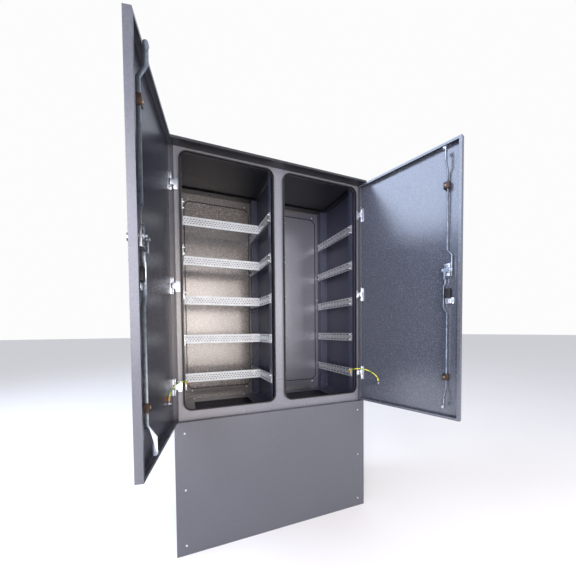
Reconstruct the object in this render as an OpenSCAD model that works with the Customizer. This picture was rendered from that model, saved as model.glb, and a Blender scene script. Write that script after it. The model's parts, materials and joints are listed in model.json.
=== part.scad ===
// Roadside utility cabinet: a two-door sheet steel cabinet on a bolted plinth.
// Origin: middle of the footprint on the ground. +X runs to the right door, +Y into the
// cabinet, +Z up. Both doors stand open, with their lock rods drawn in.
// Most modules are written from the front left corner of the cabinet, and in_cabinet()
// carries them to the origin. Door pieces are written on the closed left door: x is the
// distance from the cabinet's side, y the depth behind the outer skin, z the height.

/* [Cabinet] */
// Width over the side walls
cabinet_w = 1100; // [900:10:1400]
// Depth from the door skin to the rear screws
cabinet_d = 480; // [400:10:640]
// Height of the plinth
plinth_h = 656; // [400:4:800]
// Height from the plinth to the roof's underside
body_h = 1323; // [1220:1:1600]
// Sheet thickness of the walls, frames and doors
sheet = 1.5; // [1:0.1:2.5]
// Depth of the front frame's face behind the door skin
frame_y = 28; // [27:0.5:34]
// Height of the roof above the body
roof_h = 11; // [8:1:40]
// Overhang of the roof in front of the door skin
roof_front = 28; // [10:1:60]

/* [Openings] */
// Margin between the cabinet's side and an opening
side_margin = 45; // [44:1:60]
// Margin between the middle of the front and an opening
mid_margin = 29; // [27:1:40]
// Margin below an opening
low_margin = 52; // [40:1:80]
// Margin above an opening
top_margin = 21.5; // [18:0.5:40]
// Corner radius of an opening
opening_r = 40; // [20:1:60]
// Height of the turned-out lip round an opening
lip_h = 12; // [8:1:14]
// Thickness of the seal on each side of the lip
seal_t = 2; // [1:0.5:3]

/* [Rear] */
// Margin between the cabinet's side and a rear window
rear_side = 77; // [50:1:100]
// Margin between the middle of the rear and a rear window
rear_mid = 47; // [30:1:80]
// Margin below a rear window
rear_low = 64; // [50:1:100]
// Margin above a rear window
rear_top = 45; // [40:1:80]
// Corner radius of a rear window
rear_r = 45; // [20:1:60]
// Overlap of a rear panel round its window
panel_lap = 24; // [22:1:40]

/* [Rails] */
// Distance from the middle of an opening to the rail faces
rail_u = 226; // [200:1:228]
// Height of a rail or strap
rail_h = 50; // [46:1:70]
// Height of the lowest rail above the plinth
rail_low = 174; // [120:1:260]
// Vertical spacing of the rails
rail_pitch = 222; // [180:1:240]
// Thickness of rails and straps
rail_t = 1.5; // [1:0.1:3]
// Depth of the folded edges of rails and straps
rail_fold = 5; // [3:0.5:8]
// Distance from the door skin to a rail's front screws
rail_screw_y = 54; // [50:1:70]
// Spacing of the slots along a rail
slot_pitch = 36; // [30:1:45]
// Length of a rail slot
slot_l = 22; // [14:1:26]
// Depth of the cross straps behind the door skin
strap_y = 247; // [150:1:300]
// Spacing of the holes along a cross strap
strap_pitch = 16; // [12:1:20]
// Diameter of a cross strap hole
strap_hole_d = 5.2; // [4:0.2:7]

/* [Doors] */
// Thickness of the folded door pan
door_t = 25; // [22:0.5:27]
// Gap round the closed doors
door_gap = 2; // [1:0.5:4]
// Width of the door pan's inner return
door_return = 12; // [8:1:14]
// Opening angle of the left door
left_open = 100.4; // [0:0.1:130]
// Opening angle of the right door
right_open = 107.4; // [0:0.1:130]
// Height of a hinge
hinge_h = 78; // [60:1:100]

/* [Lock] */
// Distance from the door's free edge to the lock spindle
lock_in = 58; // [57:1:80]
// Height of the lock spindle above the plinth
lock_up = 719; // [600:1:800]
// Distance from the spindle to the crank's drive pins
crank_r = 15; // [12:0.5:15]
// Width of a lock rod, measured across the door's depth
rod_w = 16; // [10:1:18]
// Thickness of a lock rod
rod_t = 4; // [3:0.5:6]
// Radius of a rod roller
roller_r = 8.5; // [6:0.5:9]
// Length of the handle from its pivot
handle_l = 118; // [80:1:125]

/* [Hidden] */
$fn = 40;

// Finishes
powder_coat = "#4a4c55";
zinc = "#c9ccd2";
rubber_black = "#1c1d20";
plastic_brown = "#4b3b34";
wire_yellow = "#c8c22e";

// Fits
fit = 0.3;
running = 0.05;
seal_gap = 0.1;

// Body
sill_z = plinth_h;
eaves_z = plinth_h + body_h;
rear_y = cabinet_d - 4;
panel_t = 2;
inner_y0 = frame_y + sheet;
inner_y1 = rear_y - sheet;
floor_t = 2;
open_z0 = sill_z + low_margin;
open_z1 = eaves_z - top_margin;
open_w = cabinet_w / 2 - side_margin - mid_margin;
open_mid = side_margin + open_w / 2;
cut_z0 = open_z0 + sheet;
cut_z1 = open_z1 - sheet;
rear_x0 = rear_side;
rear_x1 = cabinet_w / 2 - rear_mid;
rear_z0 = sill_z + rear_low;
rear_z1 = eaves_z - rear_top;

// Plinth
plinth_t = 2;
flange_w = 60;
flange_t = 4;
corner_t = 3;
plinth_screw_x = 45.6;
plinth_screws_z = [47.6, plinth_h / 2 - 4.5, plinth_h - 54];
anchor_d = 14;
anchor_in_x = 50;
anchor_in_y = 50;
cover_screw_d = 6;
cover_head_d = 10;
cover_head_h = 2;

// Floor
entry_half = 170;
entry_y0 = 150;
entry_y1 = inner_y1 - 104.5;
vent_n = 6;
vent_pitch = 18;
vent_l = 13;
vent_w = 5;
vent_y = inner_y1 - 24.5;
bolt_x = 163;
bolt_y_front = inner_y0 + 30.5;
bolt_y_rear = inner_y1 - 24.5;
bolt_side_x = 15;
bolt_side_y = inner_y1 - 116.5;
bolt_r = 4;
bolt_head_r = 6.5;
bolt_head_h = 5;

// Interior
post_t = 1.5;
post_u = rail_u + rail_t;
front_post_y0 = frame_y + 12;
front_post_y1 = rail_screw_y + 22;
rail_end = 12;
slot_n = floor((inner_y1 - rail_end - rail_screw_y) / slot_pitch) + 1;
rail_screw_y1 = rail_screw_y + slot_pitch * (slot_n - 1);
rear_post_y0 = rail_screw_y1 - 25;
rail_y0 = rail_screw_y - rail_end;
rail_y1 = rail_screw_y1 + rail_end;
hole_step = rail_pitch / 15;
rail_screw_d = 6;
rail_hole_d = rail_screw_d + 2 * fit;
rail_levels = [for (i = [0:4]) sill_z + rail_low + i * rail_pitch];
post_holes_below = floor((rail_low - floor_t - rail_hole_d) / hole_step);
post_holes_above = floor((body_h - rail_low - rail_hole_d) / hole_step);
strap_tab_y = rail_screw_y + slot_pitch * ceil((strap_y + rail_end - rail_screw_y) / slot_pitch);
strap_end_u = rail_u - rail_t;
strap_fold = 8;
strap_row = 11;
strap_edge = 14;
screw_head_r = 5;
screw_head_h = 3;
screw_tail = 4;

// Doors
door_x0 = 0.5;
door_x1 = cabinet_w / 2 - door_gap;
door_z0 = sill_z + 5;
door_z1 = eaves_z - door_gap;
hinge_x = 8;
hinge_y = 13;
knuckle_r = 4.5;
pin_r = 2.5;
leaf_t = 3;
hinge_levels = [
    sill_z + 172,
    (door_z0 + door_z1) / 2 - 5.5,
    eaves_z - 179
];
knuckle_h = hinge_h / 3;
door_leaf_x1 = 20;
frame_leaf_h = 2 * knuckle_h;
frame_leaf_x0 = 18;
frame_leaf_x1 = side_margin - seal_t - 2;

// Lock, from the door skin inwards: bars, crank, upper yoke, lower yoke
lock_x = door_x1 - lock_in;
lock_z = sill_z + lock_up;
spindle_r = 5;
case_x0 = lock_x - 14;
case_x1 = lock_x + 12;
case_z0 = lock_z - 29;
case_z1 = lock_z + 30;
case_y1 = 23;
case_rib = 2.5;
rod_y0 = 10;
rod_y1 = rod_y0 + rod_w;
crank_y0 = rod_y1 + 0.6;
crank_t = 4;
crank_end_r = 5.5;
crank_tip_r = 10;
drive_pin_r = 3;
pin_play = 0.5;
yoke_t = 2;
yoke_rim = 3;
yoke_gap = 0.6;
upper_yoke_y = crank_y0 + crank_t + yoke_gap;
lower_yoke_y = upper_yoke_y + yoke_t + yoke_gap;
pin_head_r = 4.5;
pin_head_h = 3;
pin_end_y = lower_yoke_y + yoke_t + yoke_gap;
rod_x = lock_x;
upper_side = 20;
lower_side = 8;
lower_bow = 15;
dogleg_y = 24;
barrel_x = lock_x + 2;
barrel_z = lock_z - 144;
barrel_r = 9;
clamp_y1 = 14;
plate_t = 6;
housing_x0 = lock_x - 8;
housing_x1 = lock_x + 14;
housing_z0 = lock_z - 129;
housing_z1 = lock_z - 87;
housing_y1 = 24;
handle_y = -16.5;
lever_w = 22;
roller_l = 10;
roller_pin_r = 3;
rivet_t = 1.5;
roller_y = rod_y0 + rod_w / 2 + dogleg_y;
upper_roller_z = cut_z1 - seal_t - roller_r - 4.5;
lower_roller_z = cut_z0 + seal_t + roller_r + 2.5;
upper_guide_z = eaves_z - 204;
lower_guide_z = sill_z + 207;
guide_x0 = rod_x - 16;
guide_x1 = rod_x + 8;
guide_h = 30;
guide_y1 = rod_y1 + 3;
guide_screw_x = rod_x - 9;

// Earth wires: points from a lug on the door stud, over the lip, to a lug on a rail screw,
// measured from the middle of the footprint
wire_d = 5;
wire_sides = 8;
stud_x = 120;
stud_z = sill_z + 122;
stud_r = 3;
stud_l = 16;
left_wire = [
    [-567, -336, 792.2], [-567, -336, 800], [-565, -332, 811], [-561, -323, 824],
    [-554, -309, 836], [-544, -292, 845], [-533, -274, 851], [-521, -258, 855],
    [-508, -243, 856], [-499, -232, 855], [-495, -220, 852], [-490, -209, 849],
    [-487, -198, 846], [-487, -190, 841], [-488, -187, 836], [-489, -186, 829.4]
];
right_wire = [
    [580, -332, 792.2], [580, -332, 800], [578, -328, 811], [573, -319, 824], [564, -306, 836],
    [552, -290, 846], [538, -273, 853], [523, -257, 856], [508, -243, 857], [499, -232, 856],
    [495, -220, 853], [490, -209, 850], [487, -198, 846], [487, -190, 841], [488, -187, 836],
    [489, -186, 829.4]
];

// ---------- Placing ----------

module in_cabinet() {
    translate([-cabinet_w / 2, -cabinet_d / 2, 0]) children();
}

module swung(angle) {
    in_cabinet()
        translate([hinge_x, hinge_y, 0])
            rotate([0, 0, -angle])
                translate([-hinge_x, -hinge_y, 0]) children();
}

module on_left_door() {
    swung(left_open) children();
}

module on_right_door() {
    mirror([1, 0, 0]) swung(right_open) children();
}

// A flat piece facing the front, from depth y to y + t
module facing(y, t) {
    translate([0, y + t, 0]) rotate([90, 0, 0]) linear_extrude(t) children();
}

// A flat piece facing the side, from x to x + t, drawn as depth and height
module sideways(x, t) {
    translate([x, 0, 0]) rotate([90, 0, 90]) linear_extrude(t) children();
}

module block(x0, y0, z0, x1, y1, z1) {
    translate([x0, y0, z0]) cube([x1 - x0, y1 - y0, z1 - z0]);
}

// A rod along the depth, from y0 to y1
module along_y(x, z, y0, y1, r) {
    translate([x, y1, z]) rotate([90, 0, 0]) cylinder(h = y1 - y0, r = r);
}

// A rod along the width, from x0 to x1
module along_x(y, z, x0, x1, r) {
    translate([x0, y, z]) rotate([0, 90, 0]) cylinder(h = x1 - x0, r = r);
}

module round_rect(x0, z0, x1, z1, r) {
    translate([x0 + r, z0]) square([x1 - x0 - 2 * r, z1 - z0]);
    translate([x0, z0 + r]) square([x1 - x0, z1 - z0 - 2 * r]);
    for (x = [x0 + r, x1 - r], z = [z0 + r, z1 - r]) translate([x, z]) circle(r);
}

// An opening's outline, grown by g, in compartment 0 (left) or 1 (right)
module opening(side, g) {
    mid = side == 0 ? open_mid : cabinet_w - open_mid;
    round_rect(mid - open_w / 2 - g, open_z0 - g, mid + open_w / 2 + g, open_z1 + g,
        opening_r + g);
}

// ---------- Plinth ----------

module plinth_corners() {
    for (i = [0, 1], j = [0, 1])
        translate([i * cabinet_w, j * cabinet_d, 0])
            mirror([i, 0, 0]) mirror([0, j, 0]) children();
}

module base_frame() {
    color(powder_coat) in_cabinet() difference() {
        union() {
            difference() {
                block(plinth_t, plinth_t, 0, cabinet_w - plinth_t, cabinet_d - plinth_t, flange_t);
                block(flange_w, flange_w, -1, cabinet_w - flange_w, cabinet_d - flange_w, flange_t + 1);
            }
            plinth_corners() {
                block(plinth_t, plinth_t, 0, flange_w, plinth_t + corner_t, plinth_h - flange_t);
                block(plinth_t, plinth_t, 0, plinth_t + corner_t, flange_w, plinth_h - flange_t);
            }
            difference() {
                block(plinth_t, inner_y0, plinth_h - flange_t,
                    cabinet_w - plinth_t, cabinet_d - plinth_t, plinth_h);
                block(flange_w, flange_w + inner_y0, plinth_h - flange_t - 1,
                    cabinet_w - flange_w, cabinet_d - flange_w, plinth_h + 1);
            }
        }
        plinth_corners() {
            translate([anchor_in_x, anchor_in_y, -1]) cylinder(h = flange_t + 2, d = anchor_d);
            for (z = plinth_screws_z)
                along_y(plinth_screw_x, z, plinth_t - 1, plinth_t + corner_t + 1,
                    cover_screw_d / 2 + fit);
        }
        bolt_holes();
    }
}

// Places of the bolts that hold the body to the plinth
function floor_bolt_places() = [
    for (mid = [open_mid, cabinet_w - open_mid], u = [-bolt_x, bolt_x], y = [bolt_y_front, bolt_y_rear])
        [mid + u, y],
    [bolt_side_x, bolt_side_y],
    [cabinet_w - bolt_side_x, bolt_side_y]
];

module bolt_holes() {
    for (p = floor_bolt_places())
        translate([p[0], p[1], sill_z - flange_t - 1])
            cylinder(h = flange_t + floor_t + 2, r = bolt_r + fit);
}

module floor_bolts() {
    top = sill_z + floor_t;
    color(zinc) in_cabinet() for (p = floor_bolt_places()) translate([p[0], p[1], 0]) {
        translate([0, 0, top]) cylinder(h = bolt_head_h, r = bolt_head_r, $fn = 6);
        translate([0, 0, sill_z - flange_t - 1.5]) cylinder(h = top - sill_z + flange_t + 1.5, r = bolt_r);
    }
}

module plinth_cover() {
    difference() {
        union() {
            block(0, 0, 0, cabinet_w, plinth_t, plinth_h);
            block(plinth_t + fit, 0, plinth_h - plinth_t, cabinet_w - plinth_t - fit, frame_y, plinth_h);
        }
        for (x = [plinth_screw_x, cabinet_w - plinth_screw_x], z = plinth_screws_z)
            along_y(x, z, -1, plinth_t + 1, cover_screw_d / 2 + fit);
    }
}

module plinth_front_cover() {
    color(powder_coat) in_cabinet() plinth_cover();
}

module plinth_rear_cover() {
    color(powder_coat) in_cabinet() difference() {
        block(0, cabinet_d - plinth_t, 0, cabinet_w, cabinet_d, plinth_h);
        for (x = [plinth_screw_x, cabinet_w - plinth_screw_x], z = plinth_screws_z)
            along_y(x, z, cabinet_d - plinth_t - 1, cabinet_d + 1, cover_screw_d / 2 + fit);
    }
}

module plinth_side_panels() {
    color(powder_coat) in_cabinet()
        for (x = [0, cabinet_w - plinth_t])
            block(x, plinth_t, 0, x + plinth_t, cabinet_d - plinth_t, plinth_h);
}

// A screw along the depth with its head at y, pointing inwards when dir is 1
module cover_screw(x, y, z, dir, length) {
    translate([x, y, z]) rotate([dir == 1 ? -90 : 90, 0, 0]) {
        translate([0, 0, -cover_head_h]) cylinder(h = cover_head_h, d = cover_head_d);
        cylinder(h = length, d = cover_screw_d);
    }
}

// Screw places round the left rear window
function panel_screws() = [
    for (x = [rear_x0 + 31, rear_x1 - 31], z = [rear_z0 - 12, rear_z1 + 12]) [x, z],
    [rear_x0 - 16, (rear_z0 + rear_z1) / 2],
    [rear_x1 + 16, (rear_z0 + rear_z1) / 2]
];

// Draws its children for the left window and, mirrored, for the right one
module both_windows() {
    children();
    translate([cabinet_w, 0]) mirror([1, 0]) children();
}

module cover_screws() {
    color(zinc) in_cabinet() {
        for (x = [plinth_screw_x, cabinet_w - plinth_screw_x], z = plinth_screws_z) {
            cover_screw(x, 0, z, 1, 12);
            cover_screw(x, cabinet_d, z, -1, 12);
        }
        for (p = panel_screws(), x = [p[0], cabinet_w - p[0]])
            cover_screw(x, rear_y + panel_t, p[1], -1, panel_t + sheet + screw_tail);
    }
}

// ---------- Body ----------

module floor_plate() {
    color(powder_coat) in_cabinet() difference() {
        block(sheet, inner_y0, sill_z, cabinet_w - sheet, inner_y1, sill_z + floor_t);
        translate([0, 0, sill_z - 1]) linear_extrude(floor_t + 2)
            for (mid = [open_mid, cabinet_w - open_mid]) {
                round_rect(mid - entry_half, entry_y0, mid + entry_half, entry_y1, 15);
                for (i = [0:vent_n - 1])
                    translate([mid - rail_u + 20 + i * vent_pitch, vent_y]) square([vent_l, vent_w]);
            }
        bolt_holes();
    }
}

module side_wall() {
    block(0, inner_y0, sill_z, sheet, inner_y1, eaves_z);
}

module left_wall() {
    color(powder_coat) in_cabinet() side_wall();
}

module right_wall() {
    color(powder_coat) in_cabinet() translate([cabinet_w - sheet, 0, 0]) side_wall();
}

module divider() {
    color(powder_coat) in_cabinet()
        block(cabinet_w / 2 - sheet / 2, inner_y0, sill_z + floor_t,
            cabinet_w / 2 + sheet / 2, inner_y1, eaves_z);
}

module front_frame() {
    color(powder_coat) in_cabinet() {
        facing(frame_y, sheet) difference() {
            translate([0, sill_z]) square([cabinet_w, body_h]);
            for (side = [0, 1]) opening(side, -sheet);
        }
        for (side = [0, 1])
            facing(frame_y - lip_h, lip_h) difference() {
                opening(side, 0);
                opening(side, -sheet);
            }
    }
}

module panel_screw_holes() {
    for (p = panel_screws()) translate([p[0], p[1]]) circle(cover_screw_d / 2 + fit);
}

module rear_frame() {
    color(powder_coat) in_cabinet() facing(inner_y1, sheet) difference() {
        translate([0, sill_z]) square([cabinet_w, body_h]);
        both_windows() {
            round_rect(rear_x0, rear_z0, rear_x1, rear_z1, rear_r);
            panel_screw_holes();
        }
    }
}

module rear_panels() {
    color(powder_coat) in_cabinet() facing(rear_y, panel_t) both_windows() difference() {
        translate([rear_x0 - panel_lap, rear_z0 - panel_lap])
            square([rear_x1 - rear_x0 + 2 * panel_lap, rear_z1 - rear_z0 + 2 * panel_lap]);
        panel_screw_holes();
    }
}

module roof() {
    color(powder_coat) in_cabinet() difference() {
        block(0, -roof_front, eaves_z, cabinet_w, cabinet_d, eaves_z + roof_h);
        block(sheet, sheet - roof_front, eaves_z + sheet,
            cabinet_w - sheet, cabinet_d - sheet, eaves_z + roof_h - sheet);
        block(40, rail_screw_y + 40, eaves_z - 1, cabinet_w - 40, cabinet_d - 60, eaves_z + sheet + 1);
    }
}

module opening_seals() {
    top = frame_y - lip_h;
    color(rubber_black) in_cabinet() for (side = [0, 1]) {
        facing(top - seal_gap - 5, 5) difference() {
            opening(side, seal_t);
            opening(side, -sheet - seal_t);
        }
        facing(top - seal_gap, 7) difference() {
            opening(side, seal_t);
            opening(side, seal_gap);
        }
        facing(top - seal_gap, 7) difference() {
            opening(side, -sheet - seal_gap);
            opening(side, -sheet - seal_t);
        }
    }
}

// ---------- Interior ----------

// Depth and height of one perforated flange, with a column of holes in step with the rails
module post_flange(y0, y1, hole_y) {
    difference() {
        translate([y0, sill_z + floor_t]) square([y1 - y0, eaves_z - sill_z - floor_t]);
        for (i = [-post_holes_below:post_holes_above])
            translate([hole_y, rail_levels[0] + i * hole_step]) circle(rail_hole_d / 2, $fn = 24);
    }
}

// Front and rear post on the side of a compartment where the wall is at wall_u
module posts(wall_u) {
    sideways(post_u, post_t) post_flange(front_post_y0, front_post_y1, rail_screw_y);
    block(post_u, front_post_y1 - post_t, sill_z + floor_t, wall_u, front_post_y1, eaves_z);
    sideways(post_u, post_t) post_flange(rear_post_y0, inner_y1, rail_screw_y1);
    block(post_u, rear_post_y0, sill_z + floor_t, wall_u, rear_post_y0 + post_t, eaves_z);
}

module slot(l, w) {
    square([l - w, w], center = true);
    for (s = [-1, 1]) translate([s * (l - w) / 2, 0]) circle(w / 2, $fn = 24);
}

module rail(z) {
    sideways(rail_u, rail_t) difference() {
        translate([rail_y0, z - rail_h / 2]) square([rail_y1 - rail_y0, rail_h]);
        for (i = [0:slot_n - 1], s = [-1, 1])
            translate([rail_screw_y + i * slot_pitch, z + s * hole_step]) slot(slot_l, rail_hole_d);
    }
    for (s = [-1, 1])
        translate([0, 0, z + s * (rail_h - rail_t) / 2])
            block(rail_u - rail_fold, rail_y0, -rail_t / 2, rail_u, rail_y1, rail_t / 2);
}

module rails() {
    for (z = rail_levels) rail(z);
}

// Puts a piece drawn beside the right wall of a compartment on any of the four sides
module left_compartment_outer() {
    in_cabinet() translate([open_mid, 0, 0]) mirror([1, 0, 0]) children();
}

module left_compartment_inner() {
    in_cabinet() translate([open_mid, 0, 0]) children();
}

module right_compartment_inner() {
    in_cabinet() translate([cabinet_w - open_mid, 0, 0]) mirror([1, 0, 0]) children();
}

module right_compartment_outer() {
    in_cabinet() translate([cabinet_w - open_mid, 0, 0]) children();
}

outer_wall_u = open_mid - sheet;
inner_wall_u = cabinet_w / 2 - sheet / 2 - open_mid;

module left_wall_posts() {
    color(powder_coat) left_compartment_outer() posts(outer_wall_u);
}

module left_divider_posts() {
    color(powder_coat) left_compartment_inner() posts(inner_wall_u);
}

module right_divider_posts() {
    color(powder_coat) right_compartment_inner() posts(inner_wall_u);
}

module right_wall_posts() {
    color(powder_coat) right_compartment_outer() posts(outer_wall_u);
}

module left_wall_rails() {
    color(zinc) left_compartment_outer() rails();
}

module left_divider_rails() {
    color(zinc) left_compartment_inner() rails();
}

module right_divider_rails() {
    color(zinc) right_compartment_inner() rails();
}

module right_wall_rails() {
    color(zinc) right_compartment_outer() rails();
}

// One perforated cross strap with its two turned-back tabs
module cross_strap(i) {
    z = rail_levels[i];
    half = rail_u - rail_fold - fit;
    cols = floor((half - strap_edge) / strap_pitch);
    tab_h = rail_h - 2 * rail_t - 6;
    color(zinc) left_compartment_inner() {
        facing(strap_y, rail_t) difference() {
            union() {
                translate([-half, z - rail_h / 2]) square([2 * half, rail_h]);
                translate([-strap_end_u, z - tab_h / 2]) square([2 * strap_end_u, tab_h]);
            }
            for (c = [-cols:cols], row = [-1, 0, 1])
                translate([(c + (row == 0 ? 0.5 : 0)) * strap_pitch, z + row * strap_row])
                    circle(strap_hole_d / 2, $fn = 20);
        }
        for (s = [-1, 1])
            translate([0, 0, z + s * (rail_h - rail_t) / 2])
                block(-half, strap_y, -rail_t / 2, half, strap_y + strap_fold, rail_t / 2);
        for (s = [0, 1]) mirror([s, 0, 0])
            sideways(strap_end_u, rail_t) difference() {
                translate([strap_y, z - tab_h / 2])
                    square([strap_tab_y + rail_end - strap_y, tab_h]);
                for (t = [-1, 1])
                    translate([strap_tab_y, z + t * hole_step]) circle(rail_hole_d / 2, $fn = 24);
            }
    }
}

module cross_strap_1() {
    cross_strap(0);
}

module cross_strap_2() {
    cross_strap(1);
}

module cross_strap_3() {
    cross_strap(2);
}

module cross_strap_4() {
    cross_strap(3);
}

module cross_strap_5() {
    cross_strap(4);
}

// A screw along the width, its head's underside at u
module rail_screw(u, y, z, length) {
    along_x(y, z, u - screw_head_h, u, screw_head_r);
    along_x(y, z, u, u + length, rail_screw_d / 2);
}

module rail_screw_set() {
    for (z = rail_levels, s = [-1, 1], y = [rail_screw_y, rail_screw_y1])
        rail_screw(rail_u, y, z + s * hole_step, rail_t + post_t + screw_tail);
}

module strap_screw_set() {
    for (z = rail_levels, s = [-1, 1])
        rail_screw(strap_end_u, strap_tab_y, z + s * hole_step, 2 * rail_t + screw_tail);
}

module rail_screws() {
    color(zinc) {
        left_compartment_outer() {
            rail_screw_set();
            strap_screw_set();
        }
        left_compartment_inner() {
            rail_screw_set();
            strap_screw_set();
        }
        right_compartment_inner() rail_screw_set();
        right_compartment_outer() rail_screw_set();
    }
}

// ---------- Doors ----------

module door_pan() {
    ret = door_t - sheet;
    difference() {
        block(door_x0, 0, door_z0, door_x1, door_t, door_z1);
        block(door_x0 + sheet, sheet, door_z0 + sheet, door_x1 - sheet, ret, door_z1 - sheet);
        block(door_x0 + door_return, sheet, door_z0 + door_return,
            door_x1 - door_return, door_t + 1, door_z1 - door_return);
        for (z = hinge_levels)
            block(door_x0 - 1, 4, z - knuckle_h / 2 - 2,
                door_x0 + door_return + 1, door_t + 1, z + knuckle_h / 2 + 2);
        along_y(lock_x, lock_z, -1, sheet + 1, spindle_r + 1);
        along_y(barrel_x, barrel_z, -1, sheet + 1, barrel_r + fit);
        block(housing_x0 - fit, -1, housing_z0 - fit, housing_x1 + fit, sheet + 1, housing_z1 + fit);
    }
}

// Leaf on the door's skin with the outer two knuckles
module door_leaf() {
    for (z = hinge_levels)
        translate([0, 0, z]) difference() {
            union() {
                block(hinge_x - leaf_t / 2, sheet, -hinge_h / 2,
                    door_leaf_x1, sheet + leaf_t, hinge_h / 2);
                for (s = [-1, 1])
                    translate([0, 0, s * (knuckle_h + fit / 2)]) {
                        block(hinge_x - leaf_t / 2, sheet, fit / 2 - knuckle_h / 2,
                            hinge_x + leaf_t / 2, hinge_y, knuckle_h / 2 - fit / 2);
                        translate([hinge_x, hinge_y, fit / 2 - knuckle_h / 2])
                            cylinder(h = knuckle_h - fit, r = knuckle_r);
                    }
            }
            translate([hinge_x, hinge_y, -hinge_h])
                cylinder(h = 2 * hinge_h, r = pin_r + running);
        }
}

// Leaf on the front frame with the middle knuckle
module frame_leaf() {
    for (z = hinge_levels)
        translate([0, 0, z]) difference() {
            union() {
                block(frame_leaf_x0, frame_y - leaf_t, -frame_leaf_h / 2,
                    frame_leaf_x1, frame_y, frame_leaf_h / 2);
                block(frame_leaf_x0 - 2, hinge_y - leaf_t / 2, -knuckle_h / 2,
                    frame_leaf_x0 + 1, frame_y, knuckle_h / 2);
                block(hinge_x, hinge_y - leaf_t / 2, -knuckle_h / 2,
                    frame_leaf_x0 + 1, hinge_y + leaf_t / 2, knuckle_h / 2);
                translate([hinge_x, hinge_y, -knuckle_h / 2]) cylinder(h = knuckle_h, r = knuckle_r);
            }
            translate([hinge_x, hinge_y, -hinge_h]) cylinder(h = 2 * hinge_h, r = pin_r + running);
        }
}

module hinge_frame_leaves() {
    color(zinc) {
        in_cabinet() frame_leaf();
        mirror([1, 0, 0]) in_cabinet() frame_leaf();
    }
}

module pins() {
    for (z = hinge_levels)
        translate([hinge_x, hinge_y, z - hinge_h / 2 - 2]) {
            cylinder(h = hinge_h + 4, r = pin_r);
            translate([0, 0, hinge_h + 4]) cylinder(h = 2, r = knuckle_r);
        }
}

module hinge_pins() {
    color(zinc) {
        in_cabinet() pins();
        mirror([1, 0, 0]) in_cabinet() pins();
    }
}

// Bearing block of the spindle with ribs on its face, and the clamp round the barrel
module lock_case_body() {
    difference() {
        union() {
            block(case_x0, sheet, case_z0, case_x1, case_y1, case_z1);
            for (z = [case_z0, lock_z - 4.5, case_z1 - 9])
                block(case_x0, case_y1, z, case_x1, case_y1 + case_rib, z + 9);
        }
        along_y(lock_x, lock_z, 0, rod_y1, spindle_r + running);
    }
    difference() {
        union() {
            block(barrel_x - 11, sheet, barrel_z - 14, barrel_x + 23, clamp_y1 - 5, barrel_z + 14);
            block(barrel_x - 11, sheet, barrel_z - 11, barrel_x + 12, clamp_y1, barrel_z + 11);
            along_y(barrel_x + 17.5, barrel_z, clamp_y1 - 5, clamp_y1 - 2, 4);
        }
        along_y(barrel_x, barrel_z, 0, clamp_y1 + 1, barrel_r + running);
    }
}

// Outer base plate of the handle, with the housing that reaches through the door
module handle_plate_body() {
    difference() {
        union() {
            facing(-plate_t, plate_t)
                round_rect(lock_x - 17, barrel_z - 24, lock_x + 17, lock_z + 22, 12);
            block(housing_x0, -plate_t, housing_z0, housing_x1, housing_y1, housing_z1);
        }
        along_y(lock_x, lock_z, -plate_t - 1, 1, spindle_r + fit);
        along_y(barrel_x, barrel_z, -plate_t - 1, 1, barrel_r + running);
    }
}

module lock_barrel_body() {
    cam_y = clamp_y1 + 1;
    difference() {
        union() {
            along_y(barrel_x, barrel_z, -plate_t - 1, cam_y, barrel_r);
            block(barrel_x - 5, cam_y, barrel_z - 13, barrel_x + 5, cam_y + 2.5, barrel_z + 5);
        }
        block(barrel_x - 1, -plate_t - 2, barrel_z - 4, barrel_x + 1, -plate_t + 3, barrel_z + 4);
    }
}

// Spindle with the handle's lug outside and the two-armed crank inside
module spindle_body() {
    difference() {
        union() {
            along_y(lock_x, lock_z, -plate_t - 4, crank_y0, spindle_r);
            along_y(lock_x, lock_z, -plate_t - 4, -plate_t - fit, 10);
            block(lock_x - 5, handle_y - 5, lock_z - 4, lock_x + 5, -plate_t - 4, lock_z + 4);
            facing(crank_y0, crank_t) translate([lock_x, lock_z]) {
                translate([-crank_r, -crank_end_r]) square([crank_r, 2 * crank_end_r]);
                translate([-crank_r, 0]) circle(crank_end_r);
                translate([0, -crank_tip_r]) square([crank_r, 2 * crank_tip_r]);
                translate([crank_r, 0]) circle(crank_tip_r);
                circle(crank_tip_r);
            }
            for (s = [-1, 1]) {
                along_y(lock_x + s * crank_r, lock_z, crank_y0 + crank_t, pin_end_y, drive_pin_r);
                along_y(lock_x + s * crank_r, lock_z, pin_end_y, pin_end_y + pin_head_h, pin_head_r);
            }
        }
        translate([lock_x, handle_y, lock_z - 6]) cylinder(h = 12, r = pin_r + running);
    }
}

// Lever that points to the hinges at rest, forked over the spindle's lug
module handle_body() {
    difference() {
        union() {
            block(lock_x - handle_l + lever_w / 2, handle_y - 6, lock_z - lever_w / 2,
                lock_x, handle_y + 4.5, lock_z + lever_w / 2);
            translate([lock_x - handle_l + lever_w / 2, handle_y + 4.5, lock_z]) rotate([90, 0, 0])
                cylinder(h = 10.5, r = lever_w / 2);
            translate([lock_x, handle_y, lock_z - lever_w / 2]) cylinder(h = lever_w, r = 6);
        }
        block(lock_x - 9, handle_y - 7, lock_z - 4 - fit, lock_x + 7, handle_y + 7, lock_z + 4 + fit);
    }
    translate([lock_x, handle_y, lock_z - lever_w / 2]) cylinder(h = lever_w, r = pin_r);
}

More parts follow.
